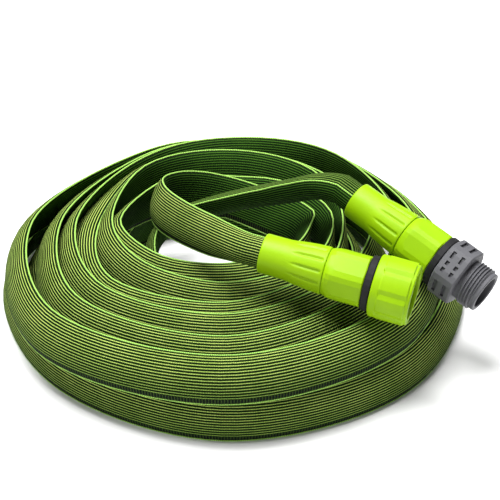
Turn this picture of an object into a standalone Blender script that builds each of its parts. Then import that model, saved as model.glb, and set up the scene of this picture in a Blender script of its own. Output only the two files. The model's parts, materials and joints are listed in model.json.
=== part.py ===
"""Flat woven soaker hose, coiled flat on the floor, with a fitting on each of its ends.

The inlet end carries a swivelling nut that screws onto a garden tap. The outlet end carries a
spigot with the same thread. Both ends share one clamp: a barbed tail inside the hose, a split
claw round it, and a fluted collar nut that draws the claw tight.

Metres, +Z up. The origin is on the floor, under the middle of the whole object. Sizes are named
in millimetres and turned into metres as each shape is made.
"""

import math

import bmesh
import bpy
from mathutils import Matrix, Vector

MM = 0.001
GAP = 0.3               # between two pieces that touch on the real object

# The hose: 28 mm wide when flat, which is a 17.6 mm tube when water fills it.
HOSE_RADIUS = 8.8
LINER_OUTER = 7.6
LINER_INNER = 6.9

# The coil: two layers of hose standing on edge. Each circle is (centre x, centre y, radius).
LAYER_HEIGHT = 25.0
LOWER_FOOT = (-3.0, 2.5, 126.0)
LOWER_TOP = (-3.0, 2.5, 122.0)
LOWER_HOLE = (-15.0, 28.0, 48.0)
UPPER_FOOT = (-11.5, -1.0, 127.5)
UPPER_TOP = (-11.0, 3.0, 117.0)
UPPER_HOLE = (-17.0, 29.0, 57.5)

# Stations along each fitting, measured from the collar nut's free end towards the mouth.
COLLAR_END = 36.5
CLAW_START = 15.2
CLAW_END = 24.6
TAIL_TIP = 14.5
SLEEVE_START = 25.0
TAIL_ROOT = 34.0
BODY_START = COLLAR_END + GAP
BODY_END = 59.3
RING_START = BODY_END + GAP
RING_END = 63.8
END_PIECE_START = RING_END + GAP
SOCKET_FLOOR = 48.0
SEAL_START = 51.6       # the groove that holds the plug's seal
SEAL_END = 54.0
NUT_WALL_END = 66.4     # inner face of the swivelling nut's back wall
FLANGE_START = 66.7     # the flange that the nut turns behind
FLANGE_END = 68.7
PANEL_START = 68.8
PANEL_END = 83.8
NUT_THREAD_START = 73.0
NUT_END = 86.0
ADAPTER_GRIP_END = 77.8
ADAPTER_FACE = 78.6
SPIGOT_THREAD_START = 78.9
THREAD_END = 92.0

# Radii along each fitting.
COLLAR_NARROW = 11.1
COLLAR_WIDE = 13.3
COLLAR_BORE = 9.2
COLLAR_THREAD = 11.3
SLEEVE_OUTER = 11.0
SLEEVE_INNER = 9.4
WATERWAY = 4.9
SOCKET_RADIUS = 8.3
SPIGOT_RADIUS = 8.0
SEAL_GROOVE = 6.3
NECK_RADIUS = 10.6
RUBBER_OUTER = 15.4
NUT_RADIUS = 17.3
FLANGE_RADIUS = 11.7
WASHER_INNER = 7.2
WASHER_OUTER = 11.6
WASHER_THICKNESS = 2.4
OUTLET_BORE = 9.5
OUTLET_MOUTH = 9.9

# The three-quarter inch pipe thread that garden taps and hose fittings share.
THREAD_MAJOR = 13.22
THREAD_MINOR = 12.06
THREAD_PITCH = 1.814
THREAD_STEPS = ((0.0, 0.0), (0.3, 0.0), (0.55, 1.0), (0.75, 1.0))    # (share of a pitch, lift)
NUT_THREAD_TURNS = 5
SPIGOT_THREAD_TURNS = 6

# Six-sided bodies, across their flats.
BODY_FLATS = 27.6
ADAPTER_FLATS = 32.4
CORNER_TRIM = 0.94      # how much of a sharp corner's reach the rounded one keeps

# Where each fitting lies: the collar nut's free end, the way the mouth points, and the way
# that one corner of its six-sided body points.
INLET_POSE = ((9.0, -58.6, 78.2), (0.945, -0.307, -0.115), (-0.21, -0.84, 0.50))
OUTLET_POSE = ((62.6, -7.4, 80.2), (0.760, -0.576, -0.301), (-0.07, -0.53, 0.85))
ADAPTER_TURN = -17.0    # degrees between the outlet's two six-sided bodies

# The adapter's grip pockets. Each is (offset across the facet, length).
POCKET_BANDS = (68.2, 74.0)
POCKET_DEPTH = 1.5
POCKET_WIDTH = 2.2
LONG_POCKETS = ((0.0, 10.0),)
SHORT_POCKETS = ((-4.6, 4.6), (0.9, 2.6), (5.2, 2.6))

# The two stretches of hose that leave the coil, from the coil to their fitting. Each goes on
# straight along its fitting's axis to the barbed tail.
INLET_ROUTE = (
    (31.0, 27.0, 36.0), (29.5, 38.0, 36.2), (24.0, 49.5, 37.2), (14.5, 59.0, 38.7),
    (1.0, 66.0, 40.8), (-14.0, 69.0, 43.0), (-29.5, 68.0, 45.5), (-43.0, 62.0, 48.0),
    (-51.5, 51.5, 50.8), (-54.5, 38.0, 54.0), (-52.5, 20.0, 58.5), (-47.0, 2.0, 63.5),
    (-38.5, -15.0, 68.5), (-28.0, -31.0, 73.0), (-16.0, -44.0, 76.6),
)
OUTLET_ROUTE = (
    (-4.0, -8.0, 13.5), (-19.0, -7.5, 14.5), (-33.0, -1.5, 19.0), (-42.5, 8.5, 26.5),
    (-46.5, 19.5, 34.5), (-42.5, 30.0, 41.5), (-30.5, 35.0, 47.0), (-15.0, 35.0, 52.5),
    (1.0, 32.5, 58.5), (16.0, 27.5, 65.0), (29.5, 19.5, 72.0), (42.0, 10.5, 78.5),
)
LEAD_STRAIGHT = 9.0     # straight hose behind the collar nut, which it backs onto
LEAD_STEPS = 2          # points of tube per stretch of route

TURN_SIDES = 30         # a multiple of six, so that every corner gets a vertex
COLLAR_SIDES = 36
NUT_SIDES = 40
SEAL_SIDES = 24
COIL_SIDES = 48
FLUTES = 12
NUT_PANELS = 8

LIME = (0.50, 0.84, 0.02)
GREY = (0.19, 0.19, 0.21)
BLACK = (0.02, 0.02, 0.022)
NATURAL = (0.80, 0.78, 0.70)
WEAVE = (0.10, 0.24, 0.05)


def clear_scene():
    for obj in list(bpy.data.objects):
        bpy.data.objects.remove(obj, do_unlink=True)


def material(name, colour, roughness):
    found = bpy.data.materials.get(name)
    if found:
        return found
    made = bpy.data.materials.new(name)
    made.use_nodes = True
    shader = made.node_tree.nodes["Principled BSDF"]
    shader.inputs["Base Color"].default_value = (*colour, 1.0)
    shader.inputs["Roughness"].default_value = roughness
    shader.inputs["Metallic"].default_value = 0.0
    made.diffuse_color = (*colour, 1.0)
    return made


def add_object(name, bm, frame, finish):
    """Close the mesh into an object that lies in the given frame."""
    bmesh.ops.recalc_face_normals(bm, faces=bm.faces[:])
    mesh = bpy.data.meshes.new(name)
    bm.to_mesh(mesh)
    bm.free()
    mesh.shade_smooth()
    mesh.set_sharp_from_angle(angle=math.radians(35.0))
    mesh.materials.append(finish)
    obj = bpy.data.objects.new(name, mesh)
    bpy.context.scene.collection.objects.link(obj)
    obj.matrix_world = frame
    return obj


def fitting_frame(pose):
    """Local +Z along the fitting towards its mouth, local +X towards a corner of its body."""
    end, along, corner = pose
    z_axis = Vector(along).normalized()
    x_axis = Vector(corner)
    x_axis = (x_axis - x_axis.dot(z_axis) * z_axis).normalized()
    y_axis = z_axis.cross(x_axis)
    turn = Matrix((x_axis, y_axis, z_axis)).transposed().to_4x4()
    return Matrix.Translation(Vector(end) * MM) @ turn


# Turned shapes. A section is a closed loop of (station, radius), and a radius may be a number
# or a function of the angle.

def add_ring(bm, station, radius, sides):
    ring = []
    for i in range(sides):
        angle = 2.0 * math.pi * i / sides
        reach = radius(angle) if callable(radius) else radius
        point = Vector((reach * math.cos(angle), reach * math.sin(angle), station))
        ring.append(bm.verts.new(point * MM))
    return ring


def join_rings(bm, low, high):
    sides = len(low)
    for i in range(sides):
        j = (i + 1) % sides
        bm.faces.new((low[i], low[j], high[j], high[i]))


def turned(name, section, frame, finish, sides=TURN_SIDES):
    bm = bmesh.new()
    rings = [add_ring(bm, station, radius, sides) for station, radius in section]
    for i, ring in enumerate(rings):
        join_rings(bm, ring, rings[(i + 1) % len(rings)])
    return add_object(name, bm, frame, finish)


def add_thread(bm, low, high, start, turns, root, crest):
    """A right-hand thread between two rings, running out into the plain root at both ends."""
    sides = len(low)
    rows = [[] for _ in range(len(THREAD_STEPS) * turns + 1)]
    for k, row in enumerate(rows):
        fraction, lift = THREAD_STEPS[k % len(THREAD_STEPS)]
        for i in range(sides):
            travel = k // len(THREAD_STEPS) + fraction + i / sides
            run_in = min(max(4.0 * (travel - 1.0), 0.0), 1.0)
            run_out = min(max(4.0 * (turns - 0.15 - travel), 0.0), 1.0)
            reach = root + (crest - root) * lift * min(run_in, run_out)
            angle = 2.0 * math.pi * i / sides
            station = start + THREAD_PITCH * travel
            point = Vector((reach * math.cos(angle), reach * math.sin(angle), station))
            row.append(bm.verts.new(point * MM))
    for i in range(sides - 1):
        column = [low[i]] + [row[i] for row in rows] + [high[i]]
        beside = [low[i + 1]] + [row[i + 1] for row in rows] + [high[i + 1]]
        for k in range(len(column) - 1):
            bm.faces.new((column[k], beside[k], beside[k + 1], column[k + 1]))
    close_thread(bm, low, high, rows)


def close_thread(bm, low, high, rows):
    """Join the last column to the first, which starts one whole pitch lower."""
    steps = len(THREAD_STEPS)
    last = [row[-1] for row in rows]
    first = [row[0] for row in rows]
    for k in range(len(rows) - steps - 1):
        bm.faces.new((last[k], first[k + steps], first[k + steps + 1], last[k + 1]))
    bm.faces.new([low[-1], low[0]] + first[:steps + 1] + [last[0]])
    bm.faces.new([high[-1], high[0], first[-1]] + last[len(rows) - steps - 1:])


def six_sided(flats, trim=CORNER_TRIM):
    """Radius of a hexagon with rounded corners, one of them at angle 0."""
    inner = flats / 2.0
    corner = inner / math.cos(math.radians(30.0)) * trim

    def radius(angle):
        off_flat = (angle + math.radians(60.0)) % math.radians(60.0) - math.radians(30.0)
        return min(inner / math.cos(off_flat), corner)

    return radius


def blend(one, other, share):
    """A radius part of the way from one outline to another."""
    def radius(angle):
        near = one(angle) if callable(one) else one
        far = other(angle) if callable(other) else other
        return near + (far - near) * share

    return radius


def grooved(outer, count, depth, phase=0.0):
    """A round outline with grooves cut into it along the axis, count of them."""
    def radius(angle):
        wave = math.cos(count * (angle - phase))
        return outer - depth if wave > 0.9 else outer

    return radius


# The hose.

def coil_layer(name, foot, top, hole, low, high, finish):
    """The outer shape of one layer of the coil, whose hole is off its middle."""
    levels = (
        (foot, low), (blend_circle(foot, top, 0.6), low + 0.6 * (high - low)), (top, high - 2.0),
        (grown(top, -2.0), high), (grown(hole, 1.5), high), (hole, high - 1.5),
        (hole, low + 1.5), (grown(hole, 1.5), low),
    )
    bm = bmesh.new()
    rings = []
    for (centre_x, centre_y, radius), height in levels:
        ring = add_ring(bm, height, radius, COIL_SIDES)
        bmesh.ops.translate(bm, vec=Vector((centre_x, centre_y, 0.0)) * MM, verts=ring)
        rings.append(ring)
    for i, ring in enumerate(rings):
        join_rings(bm, ring, rings[(i + 1) % len(rings)])
    return add_object(name, bm, Matrix.Identity(4), finish)


def blend_circle(one, other, share):
    return tuple(a + (b - a) * share for a, b in zip(one, other))


def grown(circle, extra):
    return (circle[0], circle[1], circle[2] + extra)


def smooth_points(route, steps):
    """Points on one smooth curve through the route's own points."""
    points = [Vector(p) for p in route]
    ahead = points[0] * 2.0 - points[1]
    beyond = points[-1] * 2.0 - points[-2]
    knots = [ahead] + points + [beyond]
    curve = []
    for i in range(1, len(knots) - 2):
        before, here, there, after = knots[i - 1:i + 3]
        for k in range(steps):
            t = k / steps
            curve.append(0.5 * (
                2.0 * here + (there - before) * t
                + (2.0 * before - 5.0 * here + 4.0 * there - after) * t * t
                + (3.0 * here - before - 3.0 * there + after) * t ** 3))
    curve.append(points[-1])
    return curve


def hose_lead(name, route, pose, finish):
    """A stretch of hose from the coil to the tip of its fitting's barbed tail."""
    end, along, _ = pose
    axis = Vector(along).normalized()
    stations = (-LEAD_STRAIGHT, 0.0, TAIL_TIP - 3.0 * GAP)
    straight = [Vector(end) + axis * station for station in stations]
    points = smooth_points(list(route) + [tuple(straight[0])], LEAD_STEPS) + straight[1:]
    curve = bpy.data.curves.new(name, "CURVE")
    curve.dimensions = "3D"
    curve.bevel_depth = HOSE_RADIUS * MM
    curve.bevel_resolution = 3
    curve.use_fill_caps = True
    spline = curve.splines.new("POLY")
    spline.points.add(len(points) - 1)
    for place, point in zip(spline.points, points):
        place.co = (*(point * MM), 1.0)
    spline.use_smooth = True
    curve.materials.append(finish)
    obj = bpy.data.objects.new(name, curve)
    bpy.context.scene.collection.objects.link(obj)
    return obj


def hose_end(side, frame):
    """The hose's last stretch, pushed over the barbed tail: the liner and the jacket round it."""
    start = TAIL_TIP - 2.0 * GAP
    end = TAIL_ROOT - GAP
    weave = material("woven_jacket", WEAVE, 0.8)
    rubber = material("hose_liner", BLACK, 0.6)
    liner = ((start, LINER_INNER), (start, LINER_OUTER), (end, LINER_OUTER), (end, LINER_INNER))
    inner = LINER_OUTER + GAP
    jacket = ((start, inner), (start, HOSE_RADIUS), (end, HOSE_RADIUS), (end, inner))
    turned(side + "_liner_end", liner, frame, rubber)
    turned(side + "_jacket_end", jacket, frame, weave)


# The clamp that both ends share.

def collar_nut(side, frame):
    """Smooth and narrow over the hose, wider and fluted over its thread."""
    fluted_wide = grooved(COLLAR_WIDE, FLUTES, 0.55)
    section = (
        (0.0, COLLAR_NARROW - 0.7), (0.7, COLLAR_NARROW), (14.0, COLLAR_NARROW + 0.1),
        (17.5, 11.6), (20.5, 12.1), (22.5, grooved(12.4, FLUTES, 0.4)),
        (28.5, grooved(12.95, FLUTES, 0.55)), (34.8, fluted_wide), (35.8, COLLAR_WIDE),
        (COLLAR_END, COLLAR_WIDE - 0.4), (COLLAR_END, COLLAR_THREAD), (23.0, COLLAR_THREAD),
        (12.0, COLLAR_BORE), (0.0, COLLAR_BORE),
    )
    lime = material("lime_plastic", LIME, 0.3)
    turned(side + "_collar_nut", section, frame, lime, COLLAR_SIDES)


def grip_claw(side, frame):
    """A split ring whose outside tapers with the collar nut's bore."""
    sides = 32
    section = (
        (CLAW_START, HOSE_RADIUS + GAP), (CLAW_END, HOSE_RADIUS + GAP), (CLAW_END, 10.9),
        (22.3, 10.85), (CLAW_START, 9.45),
    )
    bm = bmesh.new()
    rings = [add_ring(bm, station, radius, sides) for station, radius in section]
    for j, ring in enumerate(rings):
        beside = rings[(j + 1) % len(rings)]
        for i in range(sides - 1):
            bm.faces.new((ring[i], ring[i + 1], beside[i + 1], beside[i]))
    bm.faces.new([ring[0] for ring in rings])
    bm.faces.new([ring[-1] for ring in rings])
    add_object(side + "_grip_claw", bm, frame, material("natural_nylon", NATURAL, 0.45))


def hex_body(side, frame):
    """Barbed tail, threaded sleeve and six-sided grip in one moulding, with a socket behind."""
    grip = six_sided(BODY_FLATS)
    section = (
        (BODY_START, 12.7), (38.2, blend(13.0, grip, 0.35)), (40.6, blend(13.4, grip, 0.8)),
        (43.2, grip), (BODY_END - 0.6, grip), (BODY_END, blend(grip, 13.0, 0.4)),
        (BODY_END, SOCKET_RADIUS), (SOCKET_FLOOR, SOCKET_RADIUS), (SOCKET_FLOOR, WATERWAY),
        (TAIL_TIP, WATERWAY), (TAIL_TIP, 5.6), (18.5, 6.5), (18.5, 6.0), (22.5, 6.0),
        (26.5, 6.5), (26.5, 6.0), (TAIL_ROOT, 6.0), (TAIL_ROOT, SLEEVE_INNER),
        (SLEEVE_START, SLEEVE_INNER), (SLEEVE_START, SLEEVE_OUTER), (BODY_START, SLEEVE_OUTER),
    )
    turned(side + "_hex_body", section, frame, material("lime_plastic", LIME, 0.3))


def rubber_ring(side, frame):
    """The black sealing ring that shows between the body and the end piece."""
    inner = NECK_RADIUS + GAP
    section = (
        (RING_START, inner), (RING_START, RUBBER_OUTER - 0.5), (RING_START + 0.6, RUBBER_OUTER),
        (RING_END - 0.6, RUBBER_OUTER), (RING_END, RUBBER_OUTER - 0.5), (RING_END, inner),
    )
    turned(side + "_rubber_ring", section, frame, material("black_rubber", BLACK, 0.7))


def spigot_tail():
    """Section of the plug that fits the body's socket, from its waterway to its shoulder."""
    return [
        (SOCKET_FLOOR + 0.6, WATERWAY), (SOCKET_FLOOR + 0.6, SPIGOT_RADIUS),
        (SEAL_START, SPIGOT_RADIUS), (SEAL_START, SEAL_GROOVE), (SEAL_END, SEAL_GROOVE),
        (SEAL_END, SPIGOT_RADIUS),
        (RING_START, SPIGOT_RADIUS), (RING_START, NECK_RADIUS),
    ]


def groove_seal(name, frame):
    """O-ring in the plug's groove."""
    station = (SEAL_START + SEAL_END) / 2.0
    middle = (SEAL_GROOVE + GAP + SPIGOT_RADIUS) / 2.0
    thick = (SPIGOT_RADIUS - SEAL_GROOVE - GAP) / 2.0
    section = []
    for i in range(6):
        angle = 2.0 * math.pi * i / 6
        section.append((station + thick * math.sin(angle), middle + thick * math.cos(angle)))
    turned(name, section, frame, material("black_rubber", BLACK, 0.7), SEAL_SIDES)


# The end pieces.

def inlet_end(frame):
    """Flanged spigot, tap washer and the nut that turns freely behind the flange."""
    spigot = spigot_tail() + [
        (FLANGE_START, NECK_RADIUS), (FLANGE_START, FLANGE_RADIUS), (FLANGE_END, FLANGE_RADIUS),
        (FLANGE_END, WASHER_INNER - 0.2), (61.0, WATERWAY),
    ]
    lime = material("lime_plastic", LIME, 0.3)
    rubber = material("black_rubber", BLACK, 0.7)
    turned("inlet_flanged_spigot", spigot, frame, lime)
    groove_seal("inlet_spigot_seal", frame)
    start = FLANGE_END + GAP
    end = start + WASHER_THICKNESS
    washer = (
        (start, WASHER_INNER), (start, WASHER_OUTER), (end, WASHER_OUTER), (end, WASHER_INNER),
    )
    turned("inlet_tap_washer", washer, frame, rubber)
    swivel_nut(frame)


def swivel_nut(frame):
    """Back wall behind the spigot's flange, tap thread inside, raised panels outside."""
    panels = grooved(NUT_RADIUS + 0.25, NUT_PANELS, 0.8, math.radians(9.0))
    outside = (
        (NUT_WALL_END, NECK_RADIUS + GAP), (END_PIECE_START, NECK_RADIUS + GAP),
        (END_PIECE_START, NUT_RADIUS - 0.8), (END_PIECE_START + 0.8, NUT_RADIUS),
        (PANEL_START - 0.6, NUT_RADIUS), (PANEL_START, panels), (PANEL_END, panels),
        (PANEL_END + 0.6, NUT_RADIUS - 0.6),
        (NUT_END - 0.5, NUT_RADIUS - 0.7), (NUT_END, NUT_RADIUS - 1.2),
    )
    inside = (
        (NUT_END, THREAD_MAJOR + 0.3), (NUT_END - 0.8, THREAD_MAJOR), (NUT_WALL_END, THREAD_MAJOR),
    )
    bm = bmesh.new()
    outer = [add_ring(bm, station, radius, NUT_SIDES) for station, radius in outside]
    inner = [add_ring(bm, station, radius, NUT_SIDES) for station, radius in inside]
    for rings in (outer, inner[:2]):
        for low, high in zip(rings, rings[1:]):
            join_rings(bm, low, high)
    join_rings(bm, outer[-1], inner[0])
    join_rings(bm, inner[2], outer[0])
    add_thread(
        bm, inner[2], inner[1], NUT_THREAD_START, NUT_THREAD_TURNS, THREAD_MAJOR, THREAD_MINOR)
    add_object("inlet_swivel_nut", bm, frame, material("lime_plastic", LIME, 0.3))


def outlet_end(frame):
    """Six-sided adapter with a plug behind, grip pockets round it and a tap thread in front."""
    grip = six_sided(ADAPTER_FLATS)
    rows = spigot_tail() + [
        (END_PIECE_START, NECK_RADIUS), (END_PIECE_START, blend(grip, 14.0, 0.35)),
        (END_PIECE_START + 0.8, grip), (ADAPTER_GRIP_END, grip),
        (ADAPTER_FACE, blend(grip, 14.0, 0.35)), (ADAPTER_FACE, THREAD_MINOR),
    ]
    front = (
        (THREAD_END - 0.4, THREAD_MINOR), (THREAD_END, THREAD_MINOR - 0.4),
        (THREAD_END, OUTLET_MOUTH), (THREAD_END - 0.4, OUTLET_BORE), (63.0, OUTLET_BORE),
        (57.5, WATERWAY),
    )
    bm = bmesh.new()
    back = [add_ring(bm, station, radius, TURN_SIDES) for station, radius in rows]
    mouth = [add_ring(bm, station, radius, TURN_SIDES) for station, radius in front]
    for rings in (back, mouth):
        for low, high in zip(rings, rings[1:]):
            join_rings(bm, low, high)
    join_rings(bm, mouth[-1], back[0])
    add_thread(
        bm, back[-1], mouth[0], SPIGOT_THREAD_START, SPIGOT_THREAD_TURNS, THREAD_MINOR,
        THREAD_MAJOR)
    turn = Matrix.Rotation(math.radians(ADAPTER_TURN), 4, "Z")
    grey = material("grey_plastic", GREY, 0.5)
    adapter = add_object("outlet_thread_adapter", bm, frame @ turn, grey)
    cut = adapter.modifiers.new("grip_pockets", "BOOLEAN")
    cut.operation = "DIFFERENCE"
    cut.solver = "EXACT"
    cut.object = grip_pockets(frame @ turn)
    groove_seal("outlet_adapter_seal", frame)


def grip_pockets(frame):
    """Two bands of shallow pockets round the adapter: long ones, and sets of three short ones."""
    flat = ADAPTER_FLATS / 2.0
    bm = bmesh.new()
    for side in range(6):
        spin = Matrix.Rotation(math.radians(30.0 + 60.0 * side), 4, "Z")
        for station in POCKET_BANDS:
            for offset, length in (LONG_POCKETS if side % 2 else SHORT_POCKETS):
                reach = 2.0 * POCKET_DEPTH * MM
                size = Matrix.Diagonal((reach, length * MM, POCKET_WIDTH * MM, 1.0))
                place = Matrix.Translation(Vector((flat, offset, station)) * MM)
                bmesh.ops.create_cube(bm, size=1.0, matrix=spin @ place @ size)
    cutter = add_object("grip_pocket_cutter", bm, frame, material("grey_plastic", GREY, 0.5))
    cutter.hide_render = True
    cutter.display_type = "WIRE"
    return cutter


def build_end(side, pose, route):
    frame = fitting_frame(pose)
    hose_lead(side + "_hose_lead", route, pose, material("woven_jacket", WEAVE, 0.8))
    hose_end(side, frame)
    collar_nut(side, frame)
    grip_claw(side, frame)
    hex_body(side, frame)
    rubber_ring(side, frame)
    return frame


def build():
    clear_scene()
    weave = material("woven_jacket", WEAVE, 0.8)
    upper_low = LAYER_HEIGHT + GAP
    upper_high = upper_low + LAYER_HEIGHT
    coil_layer("hose_coil_lower", LOWER_FOOT, LOWER_TOP, LOWER_HOLE, 0.0, LAYER_HEIGHT, weave)
    coil_layer("hose_coil_upper", UPPER_FOOT, UPPER_TOP, UPPER_HOLE, upper_low, upper_high, weave)
    inlet_end(build_end("inlet", INLET_POSE, INLET_ROUTE))
    outlet_end(build_end("outlet", OUTLET_POSE, OUTLET_ROUTE))


build()
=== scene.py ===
"""Looks of a flat woven soaker hose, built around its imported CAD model.

The hose is one flattened tube swept along its whole route: from the outlet fitting down into the
hole, out through the lower layer, up, in through the upper layer, and round to the inlet fitting.
Metres, +Z up, in the CAD model's frame. Sizes are named in millimetres.
"""

import json
import math

import bmesh
import bpy
import numpy as np
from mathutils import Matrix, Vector


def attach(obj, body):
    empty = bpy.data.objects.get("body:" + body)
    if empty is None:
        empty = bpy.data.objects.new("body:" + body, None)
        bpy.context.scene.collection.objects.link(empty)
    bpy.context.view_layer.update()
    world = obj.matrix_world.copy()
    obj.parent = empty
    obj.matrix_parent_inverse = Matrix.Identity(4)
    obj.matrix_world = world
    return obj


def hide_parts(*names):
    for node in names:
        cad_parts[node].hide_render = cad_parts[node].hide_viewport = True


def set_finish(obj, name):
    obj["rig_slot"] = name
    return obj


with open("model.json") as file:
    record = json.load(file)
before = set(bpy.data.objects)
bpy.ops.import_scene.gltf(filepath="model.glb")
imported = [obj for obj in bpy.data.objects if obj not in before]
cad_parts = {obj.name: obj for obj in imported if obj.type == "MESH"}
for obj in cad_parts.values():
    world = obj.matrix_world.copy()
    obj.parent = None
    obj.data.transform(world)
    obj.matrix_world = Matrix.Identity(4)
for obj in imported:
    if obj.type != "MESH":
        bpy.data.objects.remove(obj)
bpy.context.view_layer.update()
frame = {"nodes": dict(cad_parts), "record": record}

MM = 0.001

# The hose, flat. Its perimeter is that of the round tube it becomes inside a fitting.
HOSE_WIDTH = 27.0
HOSE_THICKNESS = 4.2
ROUND_RADIUS = 8.8
RIBS = 15               # raised lime lines on each face
RIB_BAND = (-0.74, 0.955)   # where they lie across a face, from the bottom edge to the top
RIB_TOP = 0.32          # the share of a rib's pitch that is its flat top
RIB_HEIGHT = 0.22
BELOW_RIBS = (-0.985, -0.94, -0.84)     # plain points across a face, outside its ribs
ABOVE_RIBS = 0.985
PIPING_RADIUS = 0.52
PIPING_SIDES = 8
PIPING_SEAT = 0.35      # how far its middle stands out of the hose's edge, in radii
PIPING_SINK = 0.75      # how much further in it sits where the hose is round
PIPING_TRIM = 2         # rings left out at each end, so that it stays clear of the claws
GROUND_CLEAR = 1.4 * PIPING_RADIUS      # the least height of the hose's bottom edge

# The rings of the hose's mesh.
STEPS_PER_KNOT = 24
COIL_RING_STEP = 8.6
LEAD_RING_STEP = 4.0
LEAD_LENGTH = 380.0     # how far from each end the rings lie closer together

# The collar nut as (distance from its free end, radius), and the grooves round its wide end.
COLLAR_OUTSIDE = ((0.0, 10.3), (0.2, 10.75), (0.5, 11.0), (1.0, 11.1), (14.0, 11.2), (17.5, 11.6),
                  (20.5, 12.1), (28.5, 12.95), (35.0, 13.3), (36.3, 13.3), (36.7, 13.05))
COLLAR_INSIDE = ((36.7, 11.3), (23.0, 11.3), (12.0, 9.3), (0.0, 9.3))
COLLAR_SIDES = 144
GROOVES = 12
GROOVE_DEPTH = 0.85
GROOVE_WIDTH = 0.5      # how much of the cosine round the collar is groove
GROOVE_START, GROOVE_FULL, GROOVE_STOP, GROOVE_END = 17.0, 24.0, 34.4, 35.4
GROOVE_RINGS = (14.0, 36.0, 45)     # the first and last of the rings there, and how many

# The rounding of the other moulded pieces' edges.
EDGE_ROUND = 0.35
EDGE_SEGMENTS = 3
EDGE_ANGLE = 14.0       # edges sharper than this are rounded, in degrees
FLAT_ANGLE = 1.0        # faces closer than this are one flat face

# Each fitting: the collar nut's free end and the way the mouth points, as in the CAD model.
INLET_END = (9.0, -58.6, 78.2)
INLET_AXIS = (0.945, -0.307, -0.115)
OUTLET_END = (62.6, -7.4, 80.2)
OUTLET_AXIS = (0.760, -0.576, -0.301)
LEAD_STRAIGHT = 11.0    # how far the hose runs straight out of each collar
TAIL_TIP = 13.6

# How open the tube is, from flat to round, by the distance from each fitting's tail.
OUTLET_OPENING = ((0, 1.0), (21, 1.0), (50, 0.68), (110, 0.5), (190, 0.2), (270, 0.05))
INLET_OPENING = ((0, 1.0), (21, 1.0), (48, 0.45), (90, 0.28), (170, 0.12), (240, 0.05))

# The two leads. Each point is (x, y, z, lean), and lean is how far the top edge tips towards the
# left of the way the hose runs, in degrees. The hose lies up to 22 mm from the CAD leads here.
OUTLET_LEAN = 44.0
OUTLET_ROUTE = (
    (42.5, 8.5, 79.3, 45.0), (29.5, 17.5, 71.3, 45.0), (16.0, 25.5, 63.5, 45.0),
    (1.0, 30.5, 57.5, 44.0), (-15.0, 32.5, 52.0, 42.0), (-30.5, 32.5, 46.5, 36.0),
    (-44.0, 29.5, 41.5, 28.0), (-54.0, 20.5, 35.5, 20.0), (-57.5, 7.5, 28.5, 16.0),
    (-54.0, -7.0, 21.0, 15.0), (-44.0, -19.0, 15.8, 15.0), (-29.0, -27.0, 14.3, 15.0),
)
INLET_LEAN = 17.0
INLET_ROUTE = (
    (31.5, 29.5, 38.0, -28.0), (25.5, 37.5, 37.2, -28.0), (17.0, 44.5, 36.8, -26.0),
    (8.0, 50.5, 37.2, -23.0), (-3.0, 56.0, 38.6, -18.0), (-15.0, 60.0, 40.6, -12.0),
    (-28.0, 61.0, 43.4, -5.0), (-40.5, 57.5, 46.6, 3.0), (-49.5, 49.0, 50.0, 10.0),
    (-53.5, 37.0, 54.0, 15.0), (-52.0, 21.0, 59.0, 17.0), (-46.5, 3.5, 64.5, 18.0),
    (-38.0, -14.0, 70.0, 18.0), (-27.5, -30.0, 74.5, 18.0), (-15.5, -43.5, 77.6, 17.0),
)

# The coil's turns are given by the reach of the hose's top edge from one centre, in eight
# directions: back, back left, left, front left, front, front right, right, back right.
CENTRE = (-10.0, 18.0)
BACK, BACK_RIGHT = 0, 7
BACK_ANGLE = 90.0
DIRECTION_STEP = 45.0
LAYER_GAP = 0.2
CURL = 0.8              # how far the hose's width bends, as a share of its lean
LOWER_FIRST = (55, 61, 58, 51, 45, 42, 43, 48)
LOWER_LAST = (93, 124, 131, 134, 140, 138, 130, 125)
LOWER_START = 270.0     # the direction where the lower layer starts, in degrees
LOWER_KNOTS = 52        # six turns and three eighths
LOWER_SPREAD = 50       # the knots over which it spreads from its first turn to its last
LOWER_LEAN = (-12, 12, 24, 18, 15, 14, 22, 8)
UPPER_REACH = (
    (101, 90, 117, 134, 133, 124, 110, 97),
    (95, 86, 100, 116, 116, 104, 98, 94),
    (91, 83, 91, 99, 96, 88, 84, 74),
    (80, 78, 79, 91, 85, 76, 67, 70),
    (75.5, 75, 70, 67, 66, 67, 61, 51),
    (47, 54, 65, 56, 47, 51, 50),
)
UPPER_LEAN = (-20, 4, 27, 26, 30, 34, 28, 14)
LEAN_STEP = (0, 0, 0, 0, 0, -5, -10, -8)    # added for each turn further in
FLOPPED = {(3, 1): 22, (3, 2): 20, (1, 1): 10}  # the lean added at a turn and direction
BACK_DROP = (8.5, 4.0, 0.0, 4.0, 0.0, 2.0)  # how much lower each turn lies at the back
DROP_BEGUN = 0.6        # the share of the next turn's drop that is reached at the back right


def unit(vector):
    vector = np.asarray(vector, float)
    return vector / np.linalg.norm(vector)


# The route. A knot is (x, y, z, lean, curl) of the hose's middle. It runs anticlockwise from above.

def edge_offset(lean, side):
    """How far left of, and above, the hose's middle its edge is: side 1 the top, -1 the bottom."""
    angles = np.radians(lean * (1.0 + CURL * np.linspace(0.0, side, 9)))
    half = 0.5 * HOSE_WIDTH * side
    return half * np.mean(np.sin(angles)), half * np.mean(np.cos(angles))


def hose_height(lean):
    """The height between the hose's edges at a lean."""
    return edge_offset(lean, 1)[1] - edge_offset(lean, -1)[1]


def coil_knot(angle, reach, top, lean):
    """A knot from the top edge's reach and height, at an angle in degrees round the coil."""
    turn = math.radians(angle)
    left, up = edge_offset(lean, 1)
    x = CENTRE[0] + (reach + left) * math.cos(turn)
    y = CENTRE[1] + (reach + left) * math.sin(turn)
    return x, y, top - up, lean, lean * CURL


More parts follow.
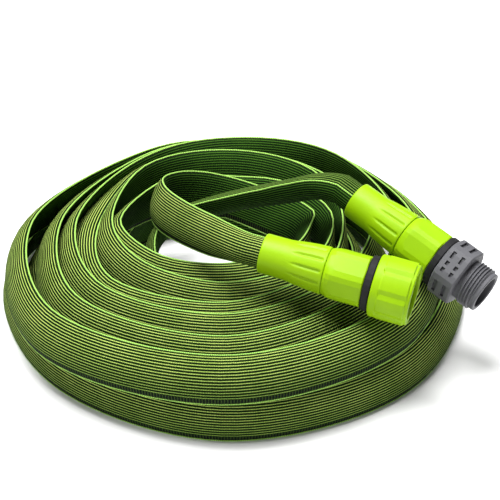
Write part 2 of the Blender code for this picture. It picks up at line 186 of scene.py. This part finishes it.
def direction_index(angle):
    """Which of the eight directions an angle is, counted from the back."""
    return round((angle - BACK_ANGLE) / DIRECTION_STEP) % 8


def lower_top(index):
    """The height of the lower layer's top edge in a direction: the piping rests on the ground."""
    return GROUND_CLEAR + hose_height(LOWER_LEAN[index])


def lower_knots():
    """The lower layer, spiralling out from its first turn to its last."""
    knots = []
    for k in range(LOWER_KNOTS):
        angle = LOWER_START + DIRECTION_STEP * k
        index = direction_index(angle)
        share = k / LOWER_SPREAD
        reach = LOWER_FIRST[index] + (LOWER_LAST[index] - LOWER_FIRST[index]) * share
        knots.append(coil_knot(angle, reach, lower_top(index), LOWER_LEAN[index]))
    return knots


def upper_knots():
    """The upper layer's turns inwards. The first is still climbing at the back."""
    knots = []
    for turn, reaches in enumerate(UPPER_REACH):
        for index, reach in enumerate(reaches):
            lean = UPPER_LEAN[index] + LEAN_STEP[index] * turn + FLOPPED.get((turn, index), 0)
            foot = lower_top(index) + 2.0 * GROUND_CLEAR + LAYER_GAP
            top = foot + hose_height(lean)
            if index == BACK:
                top -= BACK_DROP[turn]
            if index == BACK_RIGHT:
                top -= DROP_BEGUN * BACK_DROP[turn + 1]
            knots.append(coil_knot(BACK_ANGLE + DIRECTION_STEP * index, reach, top, lean))
    return knots


def fitting_knots(end, axis, lean):
    """The straight stretch into a fitting, from outside it to the barbed tail's tip."""
    return [(*(np.array(end) + unit(axis) * station), lean, 0.0)
            for station in (-LEAD_STRAIGHT, -0.5 * LEAD_STRAIGHT, 0.0, TAIL_TIP)]


def lead_knots(route):
    return [(*point, 0.0) for point in route]


def smooth_line(knots, steps):
    """Points on one smooth curve through the knots, lean included."""
    knots = np.array(knots, float)
    padded = np.vstack((2 * knots[0] - knots[1], knots, 2 * knots[-1] - knots[-2]))
    t = np.linspace(0.0, 1.0, steps, endpoint=False)[:, None]
    rows = []
    for before, here, there, after in zip(padded, padded[1:], padded[2:], padded[3:]):
        rows.append(0.5 * (
            2 * here + (there - before) * t
            + (2 * before - 5 * here + 4 * there - after) * t ** 2
            + (3 * here - before - 3 * there + after) * t ** 3))
    return np.vstack(rows + [knots[-1:]])


def run_lengths(points):
    """How far along the line each of its points is."""
    return np.concatenate(([0.0], np.cumsum(np.linalg.norm(np.diff(points, axis=0), axis=1))))


def hose_stations():
    """The hose at the rings of its mesh: middle, lean and curl there, and distance along it."""
    start = fitting_knots(OUTLET_END, OUTLET_AXIS, OUTLET_LEAN)[::-1] + lead_knots(OUTLET_ROUTE)
    finish = lead_knots(INLET_ROUTE) + fitting_knots(INLET_END, INLET_AXIS, INLET_LEAN)
    line = smooth_line(start + lower_knots() + upper_knots() + finish, STEPS_PER_KNOT)
    along = run_lengths(line[:, :3])
    total = along[-1]
    places = [0.0]
    while places[-1] < total:
        near_end = min(places[-1], total - places[-1]) < LEAD_LENGTH
        places.append(places[-1] + (LEAD_RING_STEP if near_end else COIL_RING_STEP))
    places = np.array(places[:-2] + [total])    # no ring crowds the last one
    rows = np.column_stack([np.interp(places, along, column) for column in line.T])
    return rows[:, :3], rows[:, 3], rows[:, 4], places


def directions(points):
    """At each point: along the hose, to its left, and upright."""
    along = np.gradient(points, axis=0)
    along /= np.linalg.norm(along, axis=1)[:, None]
    left = np.cross((0.0, 0.0, 1.0), along)
    left /= np.linalg.norm(left, axis=1)[:, None]
    return along, left, np.cross(along, left)


def opening(places):
    """How far the tube has opened at each distance along it."""
    outlet, inlet = np.array(OUTLET_OPENING), np.array(INLET_OPENING)
    back = places[-1] - places
    return np.maximum(np.interp(places, outlet[:, 0], outlet[:, 1]),
                      np.interp(back, inlet[:, 0], inlet[:, 1]))


# The hose's cross-section.

def face_points():
    """Points across one face, from -1 to 1, and how far each is raised: three for each rib."""
    low, high = RIB_BAND
    pitch = (high - low) / RIBS
    half_top = 0.5 * RIB_TOP * pitch
    across, raised = list(BELOW_RIBS), [0.0] * len(BELOW_RIBS)
    for rib in range(RIBS):
        middle = low + (rib + 0.5) * pitch
        across += [middle - 0.5 * pitch, middle - half_top, middle + half_top]
        raised += [0.0, RIB_HEIGHT, RIB_HEIGHT]
    across += [high, ABOVE_RIBS]
    raised += [0.0, 0.0]
    return np.array(across), np.array(raised)


def section_points():
    """Round the cross-section: the share across, which face it is on, and how far it's raised."""
    across, raised = face_points()
    share = np.concatenate(([-1.0], across, [1.0], across[::-1]))
    side = np.concatenate(([0.0], np.ones(len(across)), [0.0], -np.ones(len(across))))
    return share, side, np.concatenate(([0.0], raised, [0.0], raised[::-1]))


def section_places(share, side, raised, lean, curl, open_share):
    """Where the cross-section's points are, as (left, up) of the middle, in millimetres.

    The arrays lean, curl and open_share have one value for each ring. A flat ring is an arc that
    thins towards its edges, and a round one is a circle.
    """
    lean, curl, open_share = (np.asarray(v, float)[:, None] for v in (lean, curl, open_share))
    bend = np.radians(np.where(np.abs(curl) < 0.5, 0.5, curl))
    lean = np.radians(lean)
    angle = lean + bend * share
    half = 0.5 * HOSE_WIDTH
    out = side * (0.5 * HOSE_THICKNESS * np.sqrt(1.0 - np.abs(share) ** 3) + raised)
    flat_left = half * (np.cos(lean) - np.cos(angle)) / bend - out * np.cos(angle)
    flat_up = half * (np.sin(angle) - np.sin(lean)) / bend + out * np.sin(angle)
    across = ROUND_RADIUS * np.sin(0.5 * math.pi * share)
    away = side * (ROUND_RADIUS * np.cos(0.5 * math.pi * share) + raised)
    full_left = across * np.sin(lean) - away * np.cos(lean)
    full_up = across * np.cos(lean) + away * np.sin(lean)
    left = flat_left + (full_left - flat_left) * open_share
    return left, flat_up + (full_up - flat_up) * open_share


def swept(name, rings, closed_ends=True):
    """A tube mesh from its rings of points, in millimetres."""
    count, sides = rings.shape[:2]
    i, j = np.meshgrid(np.arange(count - 1), np.arange(sides), indexing="ij")
    k = (j + 1) % sides
    quads = np.stack((i * sides + j, i * sides + k, (i + 1) * sides + k, (i + 1) * sides + j), -1)
    faces = quads.reshape(-1, 4).tolist()
    if closed_ends:
        faces.append(list(range(sides))[::-1])
        faces.append([(count - 1) * sides + j for j in range(sides)])
    mesh = bpy.data.meshes.new(name)
    mesh.from_pydata((rings.reshape(-1, 3) * MM).tolist(), [], faces)
    mesh.shade_smooth()
    obj = bpy.data.objects.new(name, mesh)
    bpy.context.scene.collection.objects.link(obj)
    return obj


def add_attribute(obj, name, values):
    """A number at each of the mesh's points, for its material."""
    made = obj.data.attributes.new(name, "FLOAT", "POINT")
    made.data.foreach_set("value", np.asarray(values, np.float32).ravel())


class HoseLine:
    """The hose's stations, and what is swept along them."""

    def __init__(self):
        self.points, self.lean, self.curl, self.places = hose_stations()
        _, self.left, self.upright = directions(self.points)
        self.open = opening(self.places)
        foot = self.rings(np.array([-1.0]), np.zeros(1), np.zeros(1))[:, 0, 2]
        self.points[:, 2] += np.maximum(0.0, GROUND_CLEAR - foot)

    def rings(self, share, side, raised):
        """A ring of the cross-section's points at each station."""
        left, up = section_places(share, side, raised, self.lean, self.curl, self.open)
        return (self.points[:, None] + left[..., None] * self.left[:, None]
                + up[..., None] * self.upright[:, None])


def make_hose(line, finish):
    share, side, raised = section_points()
    hose = swept("woven_hose", line.rings(share, side, raised))
    add_attribute(hose, "across", np.tile(share, len(line.points)))
    add_attribute(hose, "side", np.tile(side, len(line.points)))
    add_attribute(hose, "along", np.repeat(line.places, len(share)) * MM)
    hose.data.materials.append(finish)
    return hose


def make_piping(name, sign, line, finish):
    """The lime cord sewn along one edge of the hose, sign 1 for the top and -1 for the bottom."""
    near, edge = (line.rings(np.array([share * sign]), np.zeros(1), np.zeros(1))[:, 0]
                  for share in (0.9, 1.0))
    outward = edge - near
    outward /= np.linalg.norm(outward, axis=1)[:, None]
    sideways = np.cross(directions(edge)[0], outward)
    seated = (PIPING_SEAT - PIPING_SINK * line.open)[:, None]
    middle = edge + seated * PIPING_RADIUS * outward
    rings = []
    for k in range(PIPING_SIDES):
        angle = 2.0 * math.pi * k / PIPING_SIDES
        rings.append(middle + PIPING_RADIUS * (math.cos(angle) * outward
                                               + math.sin(angle) * sideways))
    shown = slice(PIPING_TRIM, -PIPING_TRIM)
    piping = swept(name, np.stack(rings, axis=1)[shown])
    add_attribute(piping, "along", np.repeat(line.places[shown], PIPING_SIDES) * MM)
    piping.data.materials.append(finish)
    return piping


# Materials. A texture mixes each pair of colours, the dark one and the light one.

WEAVE = ((0.002, 0.007, 0.001), (0.005, 0.022, 0.002))
# painted shade: a darker copy of the ribs' lime, for where they are drawn as in shade
SHADED_RIB = ((0.04, 0.13, 0.012), (0.09, 0.22, 0.02))
LIME_RIB = ((0.27, 0.46, 0.06), (0.62, 0.76, 0.19))
SELVEDGE = ((0.002, 0.006, 0.002), (0.06, 0.11, 0.02))
PIPING = ((0.20, 0.42, 0.05), (0.42, 0.70, 0.16))
PLAIN_JACKET = (0.02, 0.05, 0.01)       # the single colours of a viewport without textures
PLAIN_PIPING = (0.36, 0.70, 0.09)

# Along the hose, in metres.
STITCH_PITCH = 0.0013
DOT_PITCH = 0.0016
TWIST_PITCH = 0.0011
SHADED_TO, BRIGHT_FROM = 0.14, 0.24     # painted shade: the ribs are darker near the outlet

DOT_SPACING = 0.055     # across the selvedge, as a share of half the face
BAND_EDGE = 0.01        # how softly the ribs stop at the edges of their band
FACE_EDGE = 0.2         # how softly the inner face turns into the outer one
FABRIC_SPECULAR = 0.08
PIPING_SPECULAR = 0.15
MOULDED_SPECULAR = 0.16
FINISHES = {
    "lime_plastic": ("lime_moulding", (0.24, 0.44, 0.001), (0.29, 0.51, 0.002), 0.42, 1500.0),
    "grey_plastic": ("grey_moulding", (0.095, 0.095, 0.105), (0.13, 0.13, 0.14), 0.5, 2600.0),
    "black_rubber": ("seal_rubber", (0.010, 0.010, 0.011), (0.022, 0.022, 0.024), 0.62, 3000.0),
    "liner_rubber": ("liner_rubber_skin", (0.014, 0.014, 0.014), (0.03, 0.03, 0.03), 0.7, 2200.0),
    "claw_nylon": ("natural_nylon_grain", (0.70, 0.68, 0.60), (0.80, 0.78, 0.70), 0.42, 1800.0),
}


def new_material(name, colour, roughness, specular=0.5):
    made = bpy.data.materials.new(name)
    made.use_nodes = True
    shader = made.node_tree.nodes["Principled BSDF"]
    shader.inputs["Base Color"].default_value = (*colour, 1.0)
    shader.inputs["Roughness"].default_value = roughness
    shader.inputs["Specular IOR Level"].default_value = specular
    return made, made.node_tree, shader


def node(tree, kind, **settings):
    made = tree.nodes.new("ShaderNode" + kind)
    for key, value in settings.items():
        setattr(made, key, value)
    return made


def math_node(tree, operation, *values):
    """The output of a Math node whose inputs are numbers or other outputs."""
    made = node(tree, "Math", operation=operation)
    for socket, value in zip(made.inputs, values):
        if isinstance(value, (int, float)):
            socket.default_value = value
        else:
            tree.links.new(value, socket)
    return made.outputs[0]


def multiply(tree, first, *others):
    """The product of two or more outputs or numbers."""
    for other in others:
        first = math_node(tree, "MULTIPLY", first, other)
    return first


def attribute(tree, name):
    return node(tree, "Attribute", attribute_name=name).outputs["Fac"]


def ramp(tree, value, low, high):
    """0 below low and 1 above high, smoothly."""
    made = node(tree, "MapRange", interpolation_type="SMOOTHSTEP")
    tree.links.new(value, made.inputs["Value"])
    made.inputs["From Min"].default_value = low
    made.inputs["From Max"].default_value = high
    return made.outputs["Result"]


def mix_colour(tree, share, one, other):
    made = node(tree, "Mix", data_type="RGBA")
    tree.links.new(share, made.inputs["Factor"])
    for socket, value in ((made.inputs[6], one), (made.inputs[7], other)):
        if isinstance(value, tuple):
            socket.default_value = (*value, 1.0)
        else:
            tree.links.new(value, socket)
    return made.outputs[2]


def noise(tree, scale, detail=2.0):
    made = node(tree, "TexNoise")
    coordinates = node(tree, "TexCoord")
    tree.links.new(coordinates.outputs["Object"], made.inputs["Vector"])
    made.inputs["Scale"].default_value = scale
    made.inputs["Detail"].default_value = detail
    return made.outputs["Fac"]


def add_bump(tree, shader, height, distance, strength=1.0):
    bump = node(tree, "Bump")
    bump.inputs["Distance"].default_value = distance
    bump.inputs["Strength"].default_value = strength
    tree.links.new(height, bump.inputs["Height"])
    tree.links.new(bump.outputs["Normal"], shader.inputs["Normal"])


def wave(tree, value, period):
    """A wave between 0 and 1 along a value."""
    swing = math_node(tree, "SINE", math_node(tree, "MULTIPLY", value, 2.0 * math.pi / period))
    return math_node(tree, "MULTIPLY_ADD", swing, 0.5, 0.5)


def painted_rib_shading(tree, across, along):
    """Painted shade, 0 to 1: 0 on the inner face, less low down on the outer face and near the outlet.
    """
    # painted shade: dark ribs on the inner face, and darker ribs low down on the outer face
    outer = ramp(tree, attribute(tree, "side"), -FACE_EDGE, FACE_EDGE)
    upper = math_node(tree, "MULTIPLY_ADD", ramp(tree, across, -0.9, 0.3), 0.6, 0.4)
    # painted shade near the outlet
    away = math_node(tree, "MULTIPLY_ADD", ramp(tree, along, SHADED_TO, BRIGHT_FROM), 0.7, 0.3)
    return multiply(tree, outer, upper, away)


def rib_lines(tree, across):
    """1 along the middle of each rib and 0 between the ribs."""
    low, high = RIB_BAND
    ribs = multiply(tree, math_node(tree, "SUBTRACT", across, low), RIBS / (high - low))
    past_middle = math_node(tree, "SUBTRACT", math_node(tree, "FRACT", ribs), 0.5)
    return ramp(tree, math_node(tree, "ABSOLUTE", past_middle), 0.2, 0.07)


def rib_band(tree, across):
    """1 over the ribs and 0 beside the piping."""
    low, high = RIB_BAND
    return multiply(tree, ramp(tree, across, low - BAND_EDGE, low + BAND_EDGE),
                    ramp(tree, across, high + BAND_EDGE, high - BAND_EDGE))


def selvedge_dots(tree, across, along):
    return multiply(tree, ramp(tree, wave(tree, along, DOT_PITCH), 0.5, 0.9),
                    ramp(tree, wave(tree, across, DOT_SPACING), 0.45, 0.85))


def jacket_material():
    """Dark weave with lime ribs under painted shade, and a dotted selvedge at the bottom."""
    made, tree, shader = new_material("woven_jacket_weave", PLAIN_JACKET, 0.9, FABRIC_SPECULAR)
    across = attribute(tree, "across")
    along = attribute(tree, "along")
    stitch = wave(tree, along, STITCH_PITCH)
    on_ribs = rib_band(tree, across)
    stitched = math_node(tree, "MULTIPLY_ADD", stitch, 0.3, 0.7)
    line = multiply(tree, rib_lines(tree, across), on_ribs, stitched)
    patches = noise(tree, 60.0, 3.0)
    weave = mix_colour(tree, patches, *WEAVE)
    # the ribs mix their lime with the painted shade
    rib = mix_colour(tree, painted_rib_shading(tree, across, along),
                     mix_colour(tree, patches, *SHADED_RIB), mix_colour(tree, patches, *LIME_RIB))
    body = mix_colour(tree, line, weave, rib)
    selvedge = mix_colour(tree, selvedge_dots(tree, across, along), *SELVEDGE)
    tree.links.new(mix_colour(tree, on_ribs, selvedge, body), shader.inputs["Base Color"])
    add_bump(tree, shader, stitch, 0.00012, 0.8)
    return made


def piping_material():
    """Lime cord with a fine twist."""
    made, tree, shader = new_material("lime_piping", PLAIN_PIPING, 0.8, PIPING_SPECULAR)
    twist = wave(tree, attribute(tree, "along"), TWIST_PITCH)
    tree.links.new(mix_colour(tree, twist, *PIPING), shader.inputs["Base Color"])
    add_bump(tree, shader, twist, 0.0002, 0.7)
    return made


def moulded_material(name, dark, light, roughness, grain):
    """Moulded plastic or rubber: a fine grain, with the gloss varying a little over it."""
    made, tree, shader = new_material(name, light, roughness, MOULDED_SPECULAR)
    tree.links.new(mix_colour(tree, noise(tree, 90.0), dark, light), shader.inputs["Base Color"])
    spread = node(tree, "MapRange")
    tree.links.new(noise(tree, 400.0, 4.0), spread.inputs["Value"])
    spread.inputs["To Min"].default_value = roughness - 0.06
    spread.inputs["To Max"].default_value = roughness + 0.08
    tree.links.new(spread.outputs["Result"], shader.inputs["Roughness"])
    add_bump(tree, shader, noise(tree, grain, 3.0), 0.00005, 0.6)
    return made


def finish_cad_nodes(hose_finish):
    """Give every CAD node that stays its procedural material, by the record's slots."""
    made = {slot: moulded_material(*values) for slot, values in FINISHES.items()}
    for entry in frame["record"]["subparts"]:
        obj = frame["nodes"][entry["node"]]
        finish = made.get(entry["material_slot"], hose_finish)
        obj.data.materials.clear()
        obj.data.materials.append(finish)
        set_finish(obj, entry["material_slot"])


# The collar nuts.

def collar_rings(end, axis):
    """Rings of points along a collar nut's outside and back along its inside."""
    turn = 2.0 * math.pi * np.arange(COLLAR_SIDES) / COLLAR_SIDES
    outside = np.array(COLLAR_OUTSIDE)
    stations = np.union1d(outside[:, 0], np.linspace(*GROOVE_RINGS))
    radii = np.interp(stations, outside[:, 0], outside[:, 1])
    width = np.interp(stations, (GROOVE_START, GROOVE_FULL, GROOVE_STOP, GROOVE_END),
                      (0.0, 1.0, 1.0, 0.0))[:, None]
    groove = np.clip((np.cos(GROOVES * turn) - 1.0) / GROOVE_WIDTH + width, 0.0, 1.0)
    outer = radii[:, None] - GROOVE_DEPTH * np.sqrt(groove)
    inner = np.array([np.full(COLLAR_SIDES, radius) for _, radius in COLLAR_INSIDE])
    radius = np.vstack((outer, inner, outer[:1]))
    station = np.concatenate((stations, [s for s, _ in COLLAR_INSIDE], stations[:1]))
    axis = unit(axis)
    right = unit(np.cross(axis, (0.0, 0.0, 1.0)))
    up = np.cross(right, axis)
    spoke = np.cos(turn)[:, None] * up + np.sin(turn)[:, None] * right
    return np.array(end) + station[:, None, None] * axis + radius[..., None] * spoke


def make_collar(side, end, axis):
    """A collar nut with fine grooves, in place of the CAD one."""
    node_object = frame["nodes"][side + "_collar_nut"]
    collar = swept(side + "_collar_grooved", collar_rings(end, axis), closed_ends=False)
    collar.data.materials.append(node_object.data.materials[0])
    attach(collar, side + "_collar")
    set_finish(collar, node_object["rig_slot"])
    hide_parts(side + "_collar_nut")
    return collar


# The other moulded pieces' soft edges. Each row is a CAD node and its body.

SOFTENED = (
    ("inlet_hex_body", "hose"), ("outlet_hex_body", "hose"), ("inlet_swivel_nut", "inlet_nut"),
)
WELD = 0.00001          # points closer than this are one, in metres


def soften(name, body):
    """Replace a CAD node by a copy with rounded edges that rides on the same body."""
    node_object = frame["nodes"][name]
    mesh = node_object.data.copy()
    shape = bmesh.new()
    shape.from_mesh(mesh)
    bmesh.ops.remove_doubles(shape, verts=shape.verts, dist=WELD)
    bmesh.ops.dissolve_limit(shape, angle_limit=math.radians(FLAT_ANGLE), verts=shape.verts,
                             edges=shape.edges)
    shape.to_mesh(mesh)
    shape.free()
    if "custom_normal" in mesh.attributes:
        mesh.attributes.remove(mesh.attributes["custom_normal"])
    mesh.shade_smooth()
    soft = bpy.data.objects.new(name + "_soft", mesh)
    bpy.context.scene.collection.objects.link(soft)
    soft.matrix_world = node_object.matrix_world
    bevel = soft.modifiers.new("edges", "BEVEL")
    bevel.width = EDGE_ROUND * MM
    bevel.segments = EDGE_SEGMENTS
    bevel.limit_method = "ANGLE"
    bevel.angle_limit = math.radians(EDGE_ANGLE)
    soft.modifiers.new("normals", "WEIGHTED_NORMAL").keep_sharp = True
    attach(soft, body)
    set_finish(soft, node_object["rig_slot"])
    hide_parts(name)
    return soft


# The stage, in metres.

FLOOR_REACH = 3.0
FLOOR_DROP = 0.0003     # how far the floor lies under the frame's z = 0
FLOOR_COLOUR = (0.90, 0.90, 0.90)
WORLD_STRENGTH = 0.15
LIT_POINT = (0.0, 0.0, 0.03)
# Each light: name, place, size, power in watts.
LIGHTS = (
    ("key_light", (-0.3, 0.05, 1.5), 0.9, 42.0),
    ("top_light", (0.4, 0.5, 1.5), 0.9, 14.0),
    ("fill_light", (-0.8, -1.1, 0.9), 0.8, 4.0),
)
CAMERA_LENS = 118.8
SENSOR_WIDTH = 36.0
CAMERA_ELEVATION = 34.0
CAMERA_DISTANCE = 1.0
CAMERA_AIM = (0.002, 0.023, 0.025)


def add_light(name, place, size, power):
    light = bpy.data.lights.new(name, "AREA")
    light.shape = "DISK"
    light.size = size
    light.energy = power
    obj = bpy.data.objects.new(name, light)
    obj.location = place
    obj.rotation_euler = (Vector(LIT_POINT) - Vector(place)).to_track_quat("-Z", "Y").to_euler()
    bpy.context.scene.collection.objects.link(obj)


def make_floor():
    mesh = bpy.data.meshes.new("floor")
    corners = [(x * FLOOR_REACH, y * FLOOR_REACH, 0.0) for x, y in ((-1, -1), (1, -1), (1, 1), (-1, 1))]
    mesh.from_pydata(corners, [], [(0, 1, 2, 3)])
    mesh.materials.append(new_material("floor_paper", FLOOR_COLOUR, 0.8)[0])
    floor = bpy.data.objects.new("floor", mesh)
    bpy.context.scene.collection.objects.link(floor)
    floor.location.z = -FLOOR_DROP


def make_world():
    world = bpy.data.worlds.new("studio")
    world.use_nodes = True
    background = world.node_tree.nodes["Background"]
    background.inputs["Color"].default_value = (1.0, 1.0, 1.0, 1.0)
    background.inputs["Strength"].default_value = WORLD_STRENGTH
    bpy.context.scene.world = world


def make_camera():
    """The camera, looking along +Y and down."""
    camera = bpy.data.objects.new("camera", bpy.data.cameras.new("camera"))
    camera.data.lens = CAMERA_LENS
    camera.data.sensor_width = SENSOR_WIDTH
    elevation = math.radians(CAMERA_ELEVATION)
    back = Vector((0.0, -math.cos(elevation), math.sin(elevation)))
    camera.location = Vector(CAMERA_AIM) + CAMERA_DISTANCE * back
    camera.rotation_euler = (math.radians(90.0) - elevation, 0.0, 0.0)
    bpy.context.scene.collection.objects.link(camera)
    bpy.context.scene.camera = camera


def make_stage():
    """Pale floor, soft lights, a pale world, and the camera."""
    make_floor()
    make_world()
    for values in LIGHTS:
        add_light(*values)
    make_camera()
    bpy.context.scene.view_settings.view_transform = "Standard"


def build():
    """Finish the CAD nodes, make the hose, its piping and the fittings' fine pieces, and the stage."""
    weave = jacket_material()
    lime = piping_material()
    finish_cad_nodes(weave)
    line = HoseLine()
    hose = make_hose(line, weave)
    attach(hose, "hose")
    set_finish(hose, "woven_jacket")
    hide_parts("hose_coil_lower", "hose_coil_upper", "inlet_hose_lead", "outlet_hose_lead")
    for name, sign in (("piping_top", 1.0), ("piping_bottom", -1.0)):
        piping = make_piping(name, sign, line, lime)
        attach(piping, "hose")
        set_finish(piping, "woven_jacket")
    soft = {name: soften(name, body) for name, body in SOFTENED}
    inlet_collar = make_collar("inlet", INLET_END, INLET_AXIS)
    make_collar("outlet", OUTLET_END, OUTLET_AXIS)
    make_stage()


build()
